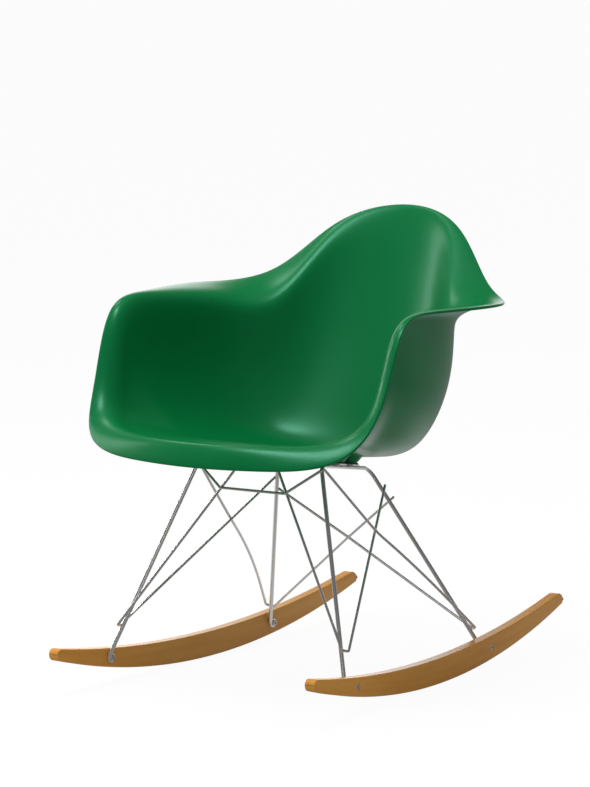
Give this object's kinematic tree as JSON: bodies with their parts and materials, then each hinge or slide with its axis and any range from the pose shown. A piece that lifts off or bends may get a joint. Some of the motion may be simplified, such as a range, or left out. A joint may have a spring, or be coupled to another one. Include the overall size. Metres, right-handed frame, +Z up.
{
  "type": "rocking chair",
  "caption": "Rocking armchair: moulded plastic bucket shell with rolled lip on a braced base of bent chromed wire, bolted to bowed wooden rockers.",
  "frame": {"origin": "on the floor, on the middle plane, at the lowest point of the rockers' bottom arcs, which is the middle of the rockers' length", "axes": "+Z up; the chair faces -Y, so +Y runs towards the back; +X is the sitter's left"},
  "size_m": [0.628, 0.8098, 0.7476],
  "materials": {
    "green_shell": "satin",
    "chromed_wire": "polished",
    "chromed_plate": "polished",
    "rocker_wood": "clear satin lacquer",
    "pad_rubber": "matt",
    "insert_brass": "plain",
    "fastener_steel": "bright"
  },
  "bodies": {
    "root": {"seat_shell": "green_shell", "left_side_frame": "chromed_wire", "left_rocker": "rocker_wood", "right_side_frame": "chromed_wire", "right_rocker": "rocker_wood", "front_brace_wire": "chromed_wire", "rear_brace_wire": "chromed_wire", "front_left_mount_plate": "chromed_plate", "front_left_mount_pad": "pad_rubber", "front_left_insert": "insert_brass", "front_left_seat_screw": "fastener_steel", "front_left_rocker_bolt": "fastener_steel", "front_left_barrel_nut": "fastener_steel", "rear_left_mount_plate": "chromed_plate", "rear_left_mount_pad": "pad_rubber", "rear_left_insert": "insert_brass", "rear_left_seat_screw": "fastener_steel", "rear_left_rocker_bolt": "fastener_steel", "rear_left_barrel_nut": "fastener_steel", "front_right_mount_plate": "chromed_plate", "front_right_mount_pad": "pad_rubber", "front_right_insert": "insert_brass", "front_right_seat_screw": "fastener_steel", "front_right_rocker_bolt": "fastener_steel", "front_right_barrel_nut": "fastener_steel", "rear_right_mount_plate": "chromed_plate", "rear_right_mount_pad": "pad_rubber", "rear_right_insert": "insert_brass", "rear_right_seat_screw": "fastener_steel", "rear_right_rocker_bolt": "fastener_steel", "rear_right_barrel_nut": "fastener_steel"}
  },
  "joints": []
}
